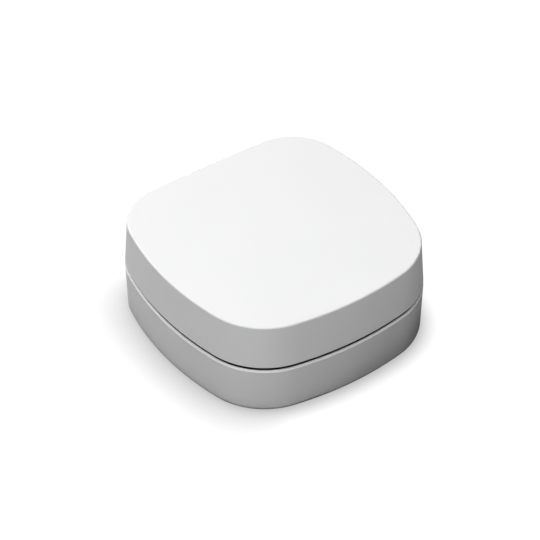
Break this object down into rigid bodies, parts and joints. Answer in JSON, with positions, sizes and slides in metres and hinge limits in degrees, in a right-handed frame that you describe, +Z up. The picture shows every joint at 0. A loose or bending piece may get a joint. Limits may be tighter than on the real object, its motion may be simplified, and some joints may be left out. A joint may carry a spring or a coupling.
{
  "type": "hearing implant charger",
  "caption": "Rounded-square bedside charging and drying case: hinged lid over a base with twin processor nests, coils, socket and lift-out desiccant cartridge.",
  "frame": {"origin": "centre of the bounding box in plan, on the surface that the feet stand on", "axes": "+Z up, +X to the right seen from the front (the longest side), -Y towards the front where the lid opens, hinge at +Y"},
  "size_m": [0.09, 0.088, 0.0373],
  "materials": {
    "white_shell": "fine spark-eroded texture, satin white",
    "deck_plastic": "fine matte texture, charcoal",
    "liner_plastic": "matte, light grey",
    "nest_soft": "soft-touch elastomer, mid grey",
    "marker_blue": "polished inlay",
    "marker_red": "polished inlay",
    "copper": "enamelled copper wire",
    "ferrite": "sintered, dull",
    "board": "solder mask, satin",
    "chip": "moulded epoxy",
    "inductor": "pressed powder",
    "capacitor": "ceramic",
    "led": "diffuse white",
    "light_guide": "frosted clear",
    "socket_steel": "drawn stainless",
    "socket_core": "glass-filled, black",
    "magnet": "nickel plated",
    "screw_steel": "zinc plated",
    "foot_rubber": "matte, dark grey",
    "hinge_steel": "bead-blasted stainless",
    "pin_steel": "ground stainless",
    "seal_rubber": "silicone, matte",
    "pad_foam": "closed-cell, fine skin",
    "cartridge_plastic": "matte, off-white",
    "desiccant_beads": "amber silica beads"
  },
  "bodies": {
    "base": {"base_shell": "white_shell", "deck": "deck_plastic", "nest_left": "nest_soft", "nest_right": "nest_soft", "marker_left": "marker_blue", "marker_right": "marker_red", "coil_left": "copper", "coil_right": "copper", "ferrite_left": "ferrite", "ferrite_right": "ferrite", "coil_leads": "copper", "main_board": "board", "charge_controller": "chip", "coil_drivers": "chip", "power_inductors": "inductor", "capacitors": "capacitor", "status_leds": "led", "light_guide": "light_guide", "usb_shell": "socket_steel", "usb_core": "socket_core", "base_magnets": "magnet", "case_screws": "screw_steel", "board_screws": "screw_steel", "feet": "foot_rubber", "base_hinge_leaf": "hinge_steel", "base_leaf_screws": "screw_steel", "hinge_pin": "pin_steel"},
    "lid": {"lid_shell": "white_shell", "lid_liner": "liner_plastic", "lid_seal": "seal_rubber", "lid_magnets": "magnet", "pad_left": "pad_foam", "pad_right": "pad_foam", "liner_screws": "screw_steel", "lid_hinge_leaf": "hinge_steel", "lid_leaf_screws": "screw_steel"},
    "cartridge": {"cartridge_cup": "cartridge_plastic", "cartridge_grille": "cartridge_plastic", "desiccant": "desiccant_beads"}
  },
  "joints": [
    {"name": "lid_hinge", "type": "hinge", "parent": "base", "child": "lid", "pos_m": [0, 0.0414, 0.0198], "axis": [-1, 0, 0], "range_deg": [0, 100]},
    {"name": "cartridge_lift", "type": "slide", "parent": "base", "child": "cartridge", "axis": [0, 0, 1], "range_m": [0, 0.0086]}
  ]
}
